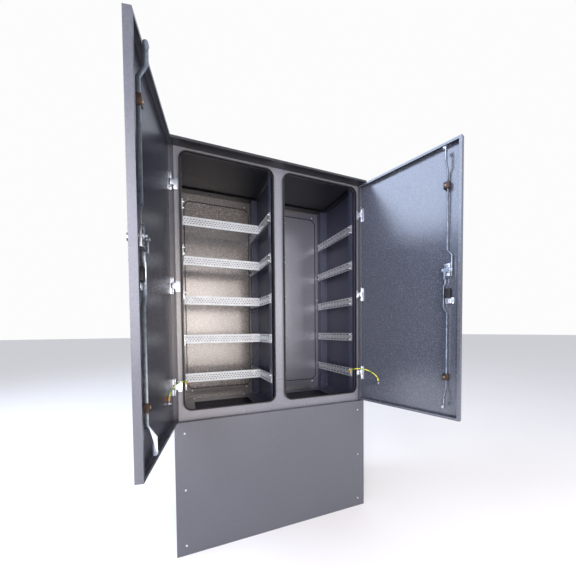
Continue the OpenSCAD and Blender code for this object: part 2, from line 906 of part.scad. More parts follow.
// Plate with the window that a crank pin drives, and its riser to the bar at distance side
module yoke(y, side, riser) {
    lift = 0.212 * crank_r;
    edge = drive_pin_r + pin_play;
    half = rod_t / 2 + 2;
    facing(y, yoke_t) difference() {
        union() {
            translate([-edge - yoke_rim, -edge - yoke_rim])
                square([crank_r + 2 * (edge + yoke_rim), 2 * (edge + yoke_rim) + lift]);
            translate([side - half, 0]) square([2 * half, riser]);
        }
        translate([-edge, -edge]) square([crank_r + 2 * edge, 2 * edge + lift]);
    }
}

// A flat bar along points of distance from the spindle's line and height
module flat_bar(points) {
    h = rod_t / 2;
    n = len(points);
    translate([0, rod_y1, 0]) rotate([90, 0, 0]) linear_extrude(rod_w)
        polygon([
            for (p = points) [p[0] - h, p[1]],
            for (i = [n - 1:-1:0]) [points[i][0] + h, points[i][1]]
        ]);
}

// The same bar bent towards the cabinet between heights d0 and d1, with the roller's rivet at c
module dogleg_bar(b, d0, d1, c) {
    rivet_x = -rod_t / 2 - roller_l - 2 * fit;
    translate([-rod_t / 2, 0, 0]) rotate([90, 0, 90]) linear_extrude(rod_t) union() {
        polygon([
            [rod_y0, b], [rod_y1, b], [rod_y1, d0], [rod_y1 + dogleg_y, d1],
            [rod_y1 + dogleg_y, c], [rod_y0 + dogleg_y, c], [rod_y0 + dogleg_y, d1], [rod_y0, d0]
        ]);
        translate([roller_y, c]) circle(rod_w / 2);
    }
    along_x(roller_y, c, rivet_x - rivet_t, 0, roller_pin_r);
    along_x(roller_y, c, rivet_x - rivet_t, rivet_x, roller_pin_r + 2);
}

// Joins a yoke at depth y to the bar at distance side, between heights z0 and z1
module bar_link(y, side, z0, z1) {
    block(side - rod_t / 2, rod_y0, z0, side + rod_t / 2, y + yoke_t, z1);
}

// Heights in these two modules are measured from the spindle, outwards
module upper_rod_body() {
    guide = upper_guide_z - lock_z;
    translate([lock_x, 0, lock_z]) {
        yoke(upper_yoke_y, upper_side, 33);
        bar_link(upper_yoke_y, upper_side, 23, 33);
        flat_bar([[upper_side, -32], [upper_side, 69], [0, 96], [0, guide]]);
        dogleg_bar(guide, guide + 64, guide + 100, upper_roller_z - lock_z);
    }
}

module lower_rod_body() {
    guide = lock_z - lower_guide_z;
    translate([lock_x, 0, lock_z]) mirror([0, 0, 1]) {
        mirror([1, 0, 0]) {
            yoke(lower_yoke_y, lower_side, 44);
            bar_link(lower_yoke_y, lower_side, 34, 44);
            flat_bar([
                [lower_side, 34], [lower_side, 64], [lower_bow, 75], [lower_bow, 176],
                [0, 203], [0, guide]
            ]);
        }
        dogleg_bar(guide, guide + 54, guide + 89, lock_z - lower_roller_z);
    }
}

module roller(z) {
    x1 = rod_x - rod_t / 2 - fit;
    difference() {
        along_x(roller_y, z, x1 - roller_l, x1, roller_r);
        along_x(roller_y, z, x1 - roller_l - 1, x1 + 1, roller_pin_r + running);
    }
}

module guides() {
    for (z = [upper_guide_z, lower_guide_z]) {
        difference() {
            block(guide_x0, sheet, z - guide_h / 2, guide_x1, guide_y1, z + guide_h / 2);
            block(rod_x - rod_t / 2 - fit, rod_y0 - fit, z - guide_h,
                rod_x + rod_t / 2 + fit, rod_y1 + fit, z + guide_h);
        }
        along_y(guide_screw_x, z, guide_y1, guide_y1 + 3, 4);
    }
}

// Stud with its nut and the wire's ring lug
module earth_stud() {
    along_y(stud_x, stud_z, sheet, stud_l, stud_r);
    difference() {
        translate([stud_x, 7, stud_z]) rotate([90, 0, 0]) cylinder(h = 4, r = 6, $fn = 6);
        along_y(stud_x, stud_z, 2, 8, stud_r + 0.05);
    }
    difference() {
        union() {
            along_y(stud_x, stud_z, 7.2, 8.7, 6);
            block(stud_x - 3, 7.2, stud_z, stud_x + 3, 8.7, stud_z + 14);
        }
        along_y(stud_x, stud_z, 7, 9, stud_r + 0.1);
    }
}

module left_door() {
    color(powder_coat) on_left_door() door_pan();
}

module left_hinge_leaves() {
    color(zinc) on_left_door() door_leaf();
}

module left_lock_case() {
    color(zinc) on_left_door() lock_case_body();
}

module left_handle_plate() {
    color(rubber_black) on_left_door() handle_plate_body();
}

module left_rod_guides() {
    color(plastic_brown) on_left_door() guides();
}

module left_earth_stud() {
    color(zinc) on_left_door() earth_stud();
}

module left_spindle() {
    color(zinc) on_left_door() spindle_body();
}

module left_handle() {
    color(rubber_black) on_left_door() handle_body();
}

module left_lock_barrel() {
    color(zinc) on_left_door() lock_barrel_body();
}

module left_upper_rod() {
    color(zinc) on_left_door() upper_rod_body();
}

module left_lower_rod() {
    color(zinc) on_left_door() lower_rod_body();
}

module left_upper_roller() {
    color(zinc) on_left_door() roller(upper_roller_z);
}

module left_lower_roller() {
    color(zinc) on_left_door() roller(lower_roller_z);
}

module right_door() {
    color(powder_coat) on_right_door() door_pan();
}

module right_hinge_leaves() {
    color(zinc) on_right_door() door_leaf();
}

module right_lock_case() {
    color(zinc) on_right_door() lock_case_body();
}

module right_handle_plate() {
    color(rubber_black) on_right_door() handle_plate_body();
}

module right_rod_guides() {
    color(plastic_brown) on_right_door() guides();
}

module right_earth_stud() {
    color(zinc) on_right_door() earth_stud();
}

module right_spindle() {
    color(zinc) on_right_door() spindle_body();
}

module right_handle() {
    color(rubber_black) on_right_door() handle_body();
}

module right_lock_barrel() {
    color(zinc) on_right_door() lock_barrel_body();
}

module right_upper_rod() {
    color(zinc) on_right_door() upper_rod_body();
}

module right_lower_rod() {
    color(zinc) on_right_door() lower_rod_body();
}

module right_upper_roller() {
    color(zinc) on_right_door() roller(upper_roller_z);
}

module right_lower_roller() {
    color(zinc) on_right_door() roller(lower_roller_z);
}

// ---------- Earth wires ----------

// Ring lug on the front lower screw of the lowest rail
module rail_lug() {
    z = rail_levels[0] - hole_step;
    u = rail_u - 3;
    difference() {
        union() {
            along_x(rail_screw_y, z, u - 1.5, u, 6);
            block(u - 1.5, rail_screw_y - 3, z, u, rail_screw_y + 3, z + 14);
        }
        along_x(rail_screw_y, z, u - 3, u + 1, rail_screw_d / 2);
    }
}

module earth_lugs() {
    color(zinc) {
        left_compartment_outer() rail_lug();
        right_compartment_outer() rail_lug();
    }
}

function unit(v) = v / norm(v);
function along(path, i) = unit(path[min(i + 1, len(path) - 1)] - path[max(i - 1, 0)]);
function ring(path, i, side) =
    let (t = along(path, i), b = unit(cross(t, side)), n = cross(b, t))
    [
        for (k = [0:wire_sides - 1])
            let (a = 360 * k / wire_sides)
            path[i] + wire_d / 2 * (cos(a) * n + sin(a) * b)
    ];

// A closed tube along the path's points
module tube(path, side) {
    n = len(path);
    points = [for (i = [0:n - 1]) each ring(path, i, side)];
    sides = [
        for (i = [0:n - 2], k = [0:wire_sides - 1])
            let (j = (k + 1) % wire_sides, a = i * wire_sides, b = a + wire_sides)
            each [[a + k, b + k, b + j], [a + k, b + j, a + j]]
    ];
    first = [for (k = [0:wire_sides - 1]) k];
    last = [for (k = [wire_sides - 1:-1:0]) (n - 1) * wire_sides + k];
    polyhedron(points, concat(sides, [first, last]));
}

module left_earth_wire() {
    color(wire_yellow) tube(left_wire, [1, 0, 0]);
}

module right_earth_wire() {
    color(wire_yellow) tube(right_wire, [1, 0, 0]);
}

base_frame();
plinth_front_cover();
plinth_rear_cover();
plinth_side_panels();
cover_screws();
floor_plate();
left_wall();
right_wall();
divider();
front_frame();
rear_frame();
rear_panels();
roof();
opening_seals();
left_wall_posts();
left_divider_posts();
right_divider_posts();
right_wall_posts();
left_wall_rails();
left_divider_rails();
right_divider_rails();
right_wall_rails();
cross_strap_1();
cross_strap_2();
cross_strap_3();
cross_strap_4();
cross_strap_5();
rail_screws();
floor_bolts();
hinge_frame_leaves();
hinge_pins();
earth_lugs();
left_door();
left_hinge_leaves();
left_lock_case();
left_handle_plate();
left_rod_guides();
left_earth_stud();
left_spindle();
left_handle();
left_lock_barrel();
left_upper_rod();
left_lower_rod();
left_upper_roller();
left_lower_roller();
left_earth_wire();
right_door();
right_hinge_leaves();
right_lock_case();
right_handle_plate();
right_rod_guides();
right_earth_stud();
right_spindle();
right_handle();
right_lock_barrel();
right_upper_rod();
right_lower_rod();
right_upper_roller();
right_lower_roller();
right_earth_wire();
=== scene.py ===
"""Looks for the roadside utility cabinet: finishes, edges, seal rubber, a dark bead as painted
shadow line, screws, wires and light.
"""

import json
import math

import bmesh
import bpy
import numpy as np
from mathutils import Matrix, Vector


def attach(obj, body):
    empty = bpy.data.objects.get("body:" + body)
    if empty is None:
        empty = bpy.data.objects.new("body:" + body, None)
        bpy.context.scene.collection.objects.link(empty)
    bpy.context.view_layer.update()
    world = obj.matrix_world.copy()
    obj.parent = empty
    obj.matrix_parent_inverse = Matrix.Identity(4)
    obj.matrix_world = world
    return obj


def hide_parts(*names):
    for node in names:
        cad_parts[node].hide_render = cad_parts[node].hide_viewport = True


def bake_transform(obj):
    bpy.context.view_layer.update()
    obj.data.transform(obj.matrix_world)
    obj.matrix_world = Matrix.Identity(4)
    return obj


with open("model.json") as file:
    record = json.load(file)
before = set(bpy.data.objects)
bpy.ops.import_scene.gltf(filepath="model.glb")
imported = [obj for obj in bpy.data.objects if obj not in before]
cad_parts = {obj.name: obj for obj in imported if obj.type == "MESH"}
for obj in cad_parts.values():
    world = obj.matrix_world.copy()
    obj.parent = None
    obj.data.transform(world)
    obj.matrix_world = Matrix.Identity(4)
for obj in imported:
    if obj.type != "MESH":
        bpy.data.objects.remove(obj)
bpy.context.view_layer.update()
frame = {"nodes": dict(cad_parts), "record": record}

MM = 0.001
record = frame["record"]
body_of_node = {
    node: body for body, nodes in record["behaviour"]["bodies"].items() for node in nodes
}

# ---------- Camera ----------

YAW, PITCH, ROLL = 0.3691, -0.0303, -0.0100
CAMERA_PLACE = (-0.53397, -1.60180, 1.09249)
SENSOR_MM, LENS_MM = 36, 16.761875
SHIFT_X, SHIFT_Y = 0.01434028, 0.08904514


def make_camera():
    """The camera looks along the direction with this yaw from +Y towards +X and this pitch, is
    rolled about it, and its picture is shifted off the lens's axis."""
    data = bpy.data.cameras.new("camera")
    camera = bpy.data.objects.new("camera", data)
    bpy.context.scene.collection.objects.link(camera)
    bpy.context.scene.camera = camera
    ahead = Vector(
        (math.sin(YAW) * math.cos(PITCH), math.cos(YAW) * math.cos(PITCH), math.sin(PITCH))
    )
    right = Vector((math.cos(YAW), -math.sin(YAW), 0))
    up = right.cross(ahead)
    turned = math.cos(ROLL) * right + math.sin(ROLL) * up
    raised = math.cos(ROLL) * up - math.sin(ROLL) * right
    turn = Matrix((turned, raised, -ahead)).transposed().to_4x4()
    camera.matrix_world = Matrix.Translation(CAMERA_PLACE) @ turn
    data.sensor_width = SENSOR_MM
    data.lens = LENS_MM
    data.shift_x, data.shift_y = SHIFT_X, SHIFT_Y
    data.clip_end = 100


make_camera()

# ---------- Frames ----------

# In mm: the cabinet over its walls, and the left door's hinge axis from its front left corner.
WIDTH, DEPTH = 1100, 480
HINGE = np.array([8.0, 13.0, 0.0])
SIDES = ("left", "right")


def open_angle(side):
    """Angle by which a door stands open at rest, from the limit of its hinge."""
    joint = next(
        j for j in record["behaviour"]["joints"] if j["name"] == f"{side}_door_swing"
    )
    return math.radians(joint["range_deg"][1])


def on_door(side, points):
    """Points of the closed left door in mm, from the cabinet's front left corner: turned about
    the hinge by the door's opening, moved to the shared frame, and mirrored in x for the right
    door."""
    a = -open_angle(side)
    turn = np.array(
        [[math.cos(a), -math.sin(a), 0], [math.sin(a), math.cos(a), 0], [0, 0, 1]]
    )
    p = (np.asarray(points, float) - HINGE) @ turn.T + HINGE - [WIDTH / 2, DEPTH / 2, 0]
    return p * [1 if side == "left" else -1, 1, 1] * MM


def inward_of(side):
    """Direction from a door's outside to its inside, for the door as it stands at rest."""
    return (on_door(side, [[0, 1, 0]])[0] - on_door(side, [[0, 0, 0]])[0]) / MM


def in_cabinet(points):
    """Points in mm from the cabinet's front left corner, moved to the shared frame."""
    return (np.asarray(points, float) - [WIDTH / 2, DEPTH / 2, 0]) * MM


# ---------- Meshes ----------


TIP = 1e-5  # radius of a ring that closes a shape at its axis


def piece(name, points, faces, body=None, uv=None):
    """A smooth mesh object from arrays of points and faces, with outward normals."""
    mesh = bpy.data.meshes.new(name)
    mesh.from_pydata(
        np.asarray(points, float).tolist(), [], [tuple(int(i) for i in f) for f in faces]
    )
    if uv is not None:
        layer = mesh.uv_layers.new(name="along")
        corner = np.zeros(len(mesh.loops), np.int32)
        mesh.loops.foreach_get("vertex_index", corner)
        layer.data.foreach_set("uv", np.asarray(uv, np.float32)[corner].ravel())
    work = bmesh.new()
    work.from_mesh(mesh)
    bmesh.ops.recalc_face_normals(work, faces=work.faces)
    work.to_mesh(mesh)
    work.free()
    mesh.polygons.foreach_set("use_smooth", np.full(len(mesh.polygons), True))
    obj = bpy.data.objects.new(name, mesh)
    bpy.context.scene.collection.objects.link(obj)
    if body:
        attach(obj, body)
    return obj


def grid_faces(rows, cols, wrap_rows=False):
    """Quads between rings of cols points. The last ring joins the first where asked."""
    r = np.arange(rows if wrap_rows else rows - 1)
    r, c = (g.ravel() for g in np.meshgrid(r, np.arange(cols), indexing="ij"))
    nr, nc = (r + 1) % rows, (c + 1) % cols
    return np.stack([r * cols + c, r * cols + nc, nr * cols + nc, nr * cols + c], 1)


def distance_along(path):
    """Distance of each point of a path from its start."""
    return np.concatenate([[0], np.cumsum(np.linalg.norm(np.diff(path, axis=0), axis=1))])


def across_path(path):
    """Two directions across a path at each of its points. The first lies nearest to the
    direction in which the path spreads least, so it never meets the tangent."""
    tangent = np.gradient(path, axis=0)
    tangent /= np.linalg.norm(tangent, axis=1)[:, None]
    flat = np.linalg.svd(path - path.mean(0))[2][2]
    across = flat - (tangent @ flat)[:, None] * tangent
    across /= np.linalg.norm(across, axis=1)[:, None]
    return across, np.cross(tangent, across)


def tube(name, path, radius, body=None):
    """A round tube: centre of each ring plus radius times the cosine and sine of an even angle
    along the two directions across the path. The ends shrink to a point, which closes them, and
    the path for the directions runs on there a little, so that each point has a tangent."""
    sides, run_on = 16, 0.01
    path = np.asarray(path, float)
    radius = np.broadcast_to(radius, len(path)).astype(float)
    path = np.vstack([path[:1], path, path[-1:]])
    radius = np.concatenate([[TIP], radius, [TIP]])
    along = path.copy()
    along[0] -= (path[2] - path[1]) * run_on
    along[-1] += (path[-2] - path[-3]) * run_on
    u, v = across_path(along)
    a = np.arange(sides) * 2 * np.pi / sides
    ring = u[:, None] * np.cos(a)[:, None] + v[:, None] * np.sin(a)[:, None]
    points = (path[:, None] + radius[:, None, None] * ring).reshape(-1, 3)
    far = distance_along(path)
    uv = np.stack([np.tile(a / (2 * np.pi), len(path)), np.repeat(far / MM, sides)], 1)
    faces = [tuple(f) for f in grid_faces(len(path), sides)]
    last = (len(path) - 1) * sides
    faces += [tuple(range(sides)), tuple(range(last, last + sides))]
    return piece(name, points, faces, body, uv)


def turned(name, centres, outward, profile, sides, body, hexagon):
    """Copies of one turned shape. A ring of each profile point (radius, height) stands round the
    axis; rings whose number is in hexagon are six-sided, with radius times the secant of the
    angle from the nearest flat. Each copy's axis starts at its centre and follows outward."""
    centres, outward = np.atleast_2d(centres), np.atleast_2d(outward).astype(float)
    outward = outward / np.linalg.norm(outward, axis=1)[:, None]
    upright = np.abs(outward[:, 2:]) > 0.9
    side = np.cross(outward, np.where(upright, [[1.0, 0, 0]], [[0, 0, 1.0]]))
    side /= np.linalg.norm(side, axis=1)[:, None]
    other = np.cross(outward, side)
    a = np.arange(sides) * 2 * np.pi / sides
    sixth = np.pi / 3
    secant = 1 / np.cos((a + sixth / 2) % sixth - sixth / 2)
    profile = np.asarray(profile, float)
    r = profile[:, :1] * np.where(
        np.isin(np.arange(len(profile)), hexagon)[:, None], secant, 1.0
    )
    x, y = r * np.cos(a), r * np.sin(a)
    z = np.broadcast_to(profile[:, 1:], x.shape)
    points = (
        centres[:, None, None]
        + x[None, ..., None] * side[:, None, None]
        + y[None, ..., None] * other[:, None, None]
        + z[None, ..., None] * outward[:, None, None]
    ).reshape(-1, 3)
    one = [tuple(f) for f in grid_faces(len(profile), sides)]
    last = (len(profile) - 1) * sides
    one += [tuple(range(sides))[::-1], tuple(range(last, last + sides))]
    each = len(profile) * sides
    faces = [tuple(i + k * each for i in f) for k in range(len(centres)) for f in one]
    return piece(name, points, faces, body)


def loose_solids(node):
    """The points of each separate solid of a CAD node. Points at one place share a number, and
    the lowest number spreads along triangles until nothing changes."""
    mesh = frame["nodes"][node].data
    points = np.zeros(len(mesh.vertices) * 3)
    mesh.vertices.foreach_get("co", points)
    points = points.reshape(-1, 3)
    _, same = np.unique(np.round(points, 6), axis=0, return_inverse=True)
    same = same.ravel()
    corner = np.zeros(len(mesh.loops), np.int64)
    mesh.loops.foreach_get("vertex_index", corner)
    triangles = same[corner].reshape(-1, 3)
    label = np.arange(same.max() + 1)
    while True:
        low = label[triangles].min(1)
        new = label.copy()
        for k in range(3):
            np.minimum.at(new, triangles[:, k], low)
        if (new == label).all():
            break
        label = new
    group = label[same]
    return [points[group == g] for g in np.unique(group)]


def screw_places(node):
    """Seat centre, outward direction, head radius and head height of each screw of a node: the
    axis is the box's longest side, and the head is at the end whose points lie further out."""
    out = []
    for p in loose_solids(node):
        low, high = p.min(0), p.max(0)
        axis = int(np.argmax(high - low))
        middle = (low + high) / 2
        away = np.linalg.norm(np.delete(p - middle, axis, 1), axis=1)
        ends = [away[np.abs(p[:, axis] - e[axis]) < 1e-5].max() for e in (low, high)]
        top = int(ends[1] > ends[0])
        head = away > 0.9 * max(ends)
        levels = p[head, axis]
        outward = np.zeros(3)
        outward[axis] = 1 if top else -1
        seat = middle.copy()
        seat[axis] = levels.min() if top else levels.max()
        out.append((seat, outward, max(ends), levels.max() - levels.min()))
    return out


def edged(node, width):
    """A CAD node's surface with its doubles merged, flat areas joined, and its edges rounded to
    a width in mm."""
    copy = frame["nodes"][node].data.copy()
    work = bmesh.new()
    work.from_mesh(copy)
    bmesh.ops.remove_doubles(work, verts=work.verts, dist=1e-6)
    bmesh.ops.dissolve_limit(
        work, angle_limit=math.radians(1), verts=work.verts, edges=work.edges
    )
    work.to_mesh(copy)
    work.free()
    obj = bpy.data.objects.new(f"{node}_finished", copy)
    bpy.context.scene.collection.objects.link(obj)
    bevel = obj.modifiers.new("edges", "BEVEL")
    bevel.width, bevel.segments, bevel.limit_method = width * MM, 2, "ANGLE"
    bevel.angle_limit, bevel.use_clamp_overlap = math.radians(35), True
    bevel.harden_normals = True
    copy.polygons.foreach_set("use_smooth", np.full(len(copy.polygons), True))
    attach(obj, body_of_node[node])
    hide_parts(node)
    return obj


# ---------- Materials ----------


def linear(code):
    """sRGB hex to linear: divide by 12.92 when dark, else the 2.4 power."""
    part = [int(code[i : i + 2], 16) / 255 for i in (0, 2, 4)]
    return tuple(c / 12.92 if c <= 0.04045 else ((c + 0.055) / 1.055) ** 2.4 for c in part) + (1,)


def add(tree, kind, inputs=None, **settings):
    """Adds one shader node with its settings, input values and links."""
    node = tree.nodes.new("ShaderNode" + kind)
    for key, value in settings.items():
        setattr(node, key, value)
    for key, value in (inputs or {}).items():
        if isinstance(value, bpy.types.NodeSocket):
            tree.links.new(value, node.inputs[key])
        else:
            node.inputs[key].default_value = value
    return node


def started(name, **shader):
    """A material with a shader whose constants are set on its own sockets."""
    material = bpy.data.materials.new(name)
    material.use_nodes = True
    tree = material.node_tree
    tree.nodes.clear()
    skin = add(tree, "BsdfPrincipled", shader)
    add(tree, "OutputMaterial", {"Surface": skin.outputs[0]})
    place = add(tree, "TexCoord").outputs["Object"]
    return material, tree, skin, place


def noise(tree, place, size_mm, detail=2.0, rough=0.5):
    """Noise whose bumps are about size_mm across."""
    return add(
        tree, "TexNoise",
        {"Vector": place, "Scale": 1000 / size_mm, "Detail": detail, "Roughness": rough},
    ).outputs["Fac"]


def spread(tree, value, low, high, to_low=0.0, to_high=1.0):
    """The value carried from the range low..high to the range to_low..to_high, and held there."""
    inputs = {0: value, 1: low, 2: high, 3: to_low, 4: to_high}
    return add(tree, "MapRange", inputs).outputs[0]


def mixed(tree, share, first, second):
    """A colour between the first and the second."""
    return add(tree, "Mix", {0: share, 6: first, 7: second}, data_type="RGBA").outputs[2]


def math_of(tree, operation, *values):
    """The result of one arithmetic node."""
    return add(tree, "Math", dict(enumerate(values)), operation=operation).outputs[0]


def powder_coat(
    name, base, glint_colour, dust, grain=2.6, rough=0.27, dusty=0.35, bump=0.5, gloss=0.7
):
    """Fine-textured polyester powder coat, sprayed and baked: small orange-peel grains whose
    tips are painted lighter, a painted glint where light falls flat, and a thin film of road
    dust in wide clouds. Real grains are about 0.4 mm, and are drawn coarser so that they show."""
    m, t, skin, place = started(name, **{"IOR": 1.52, "Specular IOR Level": gloss})
    grains = noise(t, place, grain, 2.0, 0.6)
    tips = spread(t, grains, 0.50, 0.70)
    clouds = noise(t, place, 520, 1.0, 0.4)
    film = spread(t, clouds, 0.25, 0.80, 0.0, dusty)
    # Painted glint: the grain tips take a lighter colour, standing in for light catching them.
    colour = mixed(t, tips, linear(base), linear(glint_colour))
    colour = mixed(t, film, colour, linear(dust))
    t.links.new(colour, skin.inputs["Base Color"])
    t.links.new(
        spread(t, clouds, 0.2, 0.8, rough - 0.03, rough + 0.10), skin.inputs["Roughness"]
    )
    relief = add(t, "Bump", {"Strength": bump, "Distance": 0.0008, "Height": grains})
    t.links.new(relief.outputs[0], skin.inputs["Normal"])
    return m


def plated(name, bright, dull, rough=0.24, cloud=28, grain=1.4):
    """Bright zinc plating with a clear passivation: a clean metal with cloudy duller patches
    and fine handling scratches."""
    m, t, skin, place = started(name, **{"Metallic": 1.0})
    clouds = noise(t, place, cloud, 4.0, 0.6)
    fine = noise(t, place, grain, 2.0, 0.6)
    t.links.new(
        mixed(t, spread(t, clouds, 0.38, 0.68), linear(bright), linear(dull)),
        skin.inputs["Base Color"],
    )
    t.links.new(spread(t, clouds, 0.3, 0.7, rough, rough + 0.18), skin.inputs["Roughness"])
    relief = add(t, "Bump", {"Strength": 0.12, "Distance": 0.0002, "Height": fine})
    t.links.new(relief.outputs[0], skin.inputs["Normal"])
    return m


def galvanised(name, light, dark, rough=0.38, spangle=9, flake=0.75, metal=0.75):
    """Hot-dip galvanised sheet: spangles of frozen zinc, each a flat tone of its own, with a
    slightly different gloss."""
    m, t, skin, place = started(name, **{"Metallic": metal})
    cells = add(t, "TexVoronoi", {"Vector": place, "Scale": 1000 / spangle}).outputs["Color"]
    tone = add(t, "SeparateColor", {"Color": cells}).outputs[0]
    haze = noise(t, place, 90, 3.0)
    shade = spread(t, tone, 0.0, 1.0, 0.1, flake)
    colour = mixed(t, shade, linear(light), linear(dark))
    colour = mixed(t, spread(t, haze, 0.45, 0.8, 0.0, 0.4), colour, linear(dark))
    t.links.new(colour, skin.inputs["Base Color"])
    t.links.new(spread(t, tone, 0.0, 1.0, rough - 0.06, rough + 0.12), skin.inputs["Roughness"])
    relief = add(t, "Bump", {"Strength": 0.08, "Distance": 0.0003, "Height": tone})
    t.links.new(relief.outputs[0], skin.inputs["Normal"])
    return m


def painted_hole_shade(material, centre_x, first_z, level_step, pitch, row_step):
    """Paints shade round each hole of the straps: a dark ring, a painted shadow that makes the
    holes read darker and larger. Rows lie row_step apart about each level, and the middle row is
    shifted by half a pitch. The distance from the nearest hole is the root of the squares of what
    is left of x and z after whole pitches and rows are taken off. It counts less along x, since
    the holes look longer there."""
    outer_row, along_share, darkest_shade = 1.5, 0.72, 0.85
    hole_edge, plain_from = 0.0027, 0.0037
    t = material.node_tree
    skin = next(n for n in t.nodes if n.type == "BSDF_PRINCIPLED")
    plain = skin.inputs["Base Color"].links[0].from_socket
    xyz = add(t, "SeparateXYZ", {0: add(t, "TexCoord").outputs["Object"]}).outputs
    high = math_of(t, "SUBTRACT", xyz[2], first_z - level_step / 2)
    high = math_of(t, "SUBTRACT", math_of(t, "MODULO", high, level_step), level_step / 2)
    row = math_of(t, "ROUND", math_of(t, "DIVIDE", high, row_step))
    up = math_of(t, "SUBTRACT", high, math_of(t, "MULTIPLY", row, row_step))
    from_middle = math_of(t, "ABSOLUTE", row)
    shift = math_of(t, "MULTIPLY", math_of(t, "SUBTRACT", 1.0, from_middle), pitch / 2)
    along = math_of(t, "ADD", math_of(t, "SUBTRACT", xyz[0], centre_x), shift)
    holes = math_of(t, "ROUND", math_of(t, "DIVIDE", along, pitch))
    side = math_of(t, "SUBTRACT", along, math_of(t, "MULTIPLY", holes, pitch))
    side = math_of(t, "MULTIPLY", side, along_share)
    squares = [math_of(t, "MULTIPLY", v, v) for v in (side, up)]
    far = math_of(t, "SQRT", math_of(t, "ADD", *squares))
    inside = math_of(t, "LESS_THAN", from_middle, outer_row)
    # Painted shade: a dark ring round each hole, darkest at the hole's edge.
    dark = spread(t, far, hole_edge, plain_from, darkest_shade, 0.0)
    share = math_of(t, "MULTIPLY", inside, dark)
    t.links.new(mixed(t, share, plain, linear("3B3D3A")), skin.inputs["Base Color"])


def moulded(name, base, worn, rough, grain=1.2):
    """Injection-moulded plastic or rubber with a fine spark-eroded grain and faint scuffs."""
    m, t, skin, place = started(name, **{"Metallic": 0.0, "IOR": 1.46})
    grains = noise(t, place, grain, 2.0, 0.6)
    scuffs = noise(t, place, 18, 5.0, 0.7)
    t.links.new(
        mixed(t, spread(t, scuffs, 0.45, 0.8, 0.0, 0.7), linear(base), linear(worn)),
        skin.inputs["Base Color"],
    )
    t.links.new(spread(t, scuffs, 0.3, 0.8, rough - 0.06, rough + 0.15), skin.inputs["Roughness"])
    relief = add(t, "Bump", {"Strength": 0.15, "Distance": 0.0002, "Height": grains})
    t.links.new(relief.outputs[0], skin.inputs["Normal"])
    return m


def striped_pvc(name, green, yellow, share):
    """Extruded PVC earth insulation in two colours: the stripe runs along the wire in a slow
    spiral, so its place round the wire grows with the distance along it in mm."""
    turn_mm, soft_edge = 55, 0.015
    m, t, skin, _ = started(name, **{"Metallic": 0.0, "IOR": 1.5, "Coat Weight": 0.2})
    uv = add(t, "SeparateXYZ", {0: add(t, "TexCoord").outputs["UV"]}).outputs
    angle = math_of(t, "ADD", uv[0], math_of(t, "MULTIPLY", uv[1], 1 / turn_mm))
    round_it = math_of(t, "FRACT", angle)
    stripe = spread(t, round_it, share - soft_edge, share + soft_edge)
    t.links.new(mixed(t, stripe, linear(yellow), linear(green)), skin.inputs["Base Color"])
    skin.inputs["Roughness"].default_value = 0.38
    return m


PAINT = powder_coat("powder_coat_graphite", "2E3140", "4A4E60", "4C4E58")
PLINTH = powder_coat(
    "powder_coat_plinth", "46484F", "5A5B63", "52535A", grain=1.8, rough=0.36, gloss=0.5
)
# The rear wall's inside is one coat in both compartments. These two copies are toned for how
# light falls in each, and the left one's bright warm tips are a painted glare on its back wall.
LEFT_WALLS_GLARE = powder_coat(
    "powder_coat_inner_left_glare", "454344", "98928F", "65615F", grain=4.5, rough=0.22, gloss=1.0,
    bump=0.6,
)
RIGHT_WALLS = powder_coat(
    "powder_coat_inner_right", "4B4C57", "62646F", "60616A", grain=3, gloss=1.0
)
# The roof's near-black colour is painted shade, standing in for the shadow under its lip and on
# the ceiling.
ROOF_SHADED = powder_coat("powder_coat_roof_shaded", "15161A", "26272D", "303136", dusty=0.4)
FRAME_PAINT = powder_coat(
    "powder_coat_frame", "5A5B63", "7A7B84", "73747B", grain=2.2, gloss=0.8
)
# The doors' inner faces are one coat. The left copy is darker as painted shade, and the right
# copy is lighter with bright tips as a painted sheen of reflected sky.
DOOR_LEFT_SHADED = powder_coat("powder_coat_left_door_shaded", "242630", "484B5A", "3E4046", rough=0.2)
DOOR_RIGHT_SHEEN = powder_coat(
    "powder_coat_right_door_sheen", "42454F", "6C717F", "585A60", grain=4.2, rough=0.15, gloss=1.0,
    bump=0.45,
)
DOOR_OUTSIDE = powder_coat(
    "powder_coat_door_outside", "3F414A", "5E6069", "5A5B61", grain=2.4, gloss=0.8
)
POSTS = powder_coat("powder_coat_posts", "34384A", "505468", "54565F", grain=3)
ZINC = plated("zinc_plate_bright", "DADDE2", "A9AEB8")
ROD_ZINC = plated("zinc_plate_rods", "A9B4BF", "6F7883", rough=0.26)
RAIL_ZINC = galvanised("galvanised_rails", "ECEDEE", "BFC2C6", rough=0.36)
STRAP_ZINC = galvanised("galvanised_straps", "B4B9BD", "9DA2A6", rough=0.5, flake=0.4, metal=0.4)
# Painted shade round the straps' holes.
painted_hole_shade(
    STRAP_ZINC, centre_x=-0.267, first_z=0.830, level_step=0.222, pitch=0.016, row_step=0.011
)
RUBBER = moulded("epdm_rubber_seal", "0B0B0C", "1C1C1D", rough=0.62, grain=2)
BROWN = moulded("polyamide_brown_guide", "2A1D18", "4A372E", rough=0.42)
BLACK = moulded("polyamide_black_handle", "101012", "26262A", rough=0.5)
COPPERY = plated("yellow_passivated_screw", "D6B48C", "A9845C", rough=0.22)
LEFT_PVC = striped_pvc("pvc_earth_left", "3E8F2A", "D9D63A", 0.40)
RIGHT_PVC = striped_pvc("pvc_earth_right", "5E9A22", "EFE32E", 0.62)
ORANGE = moulded("pvc_boot_orange", "D8941F", "B87718", rough=0.4)

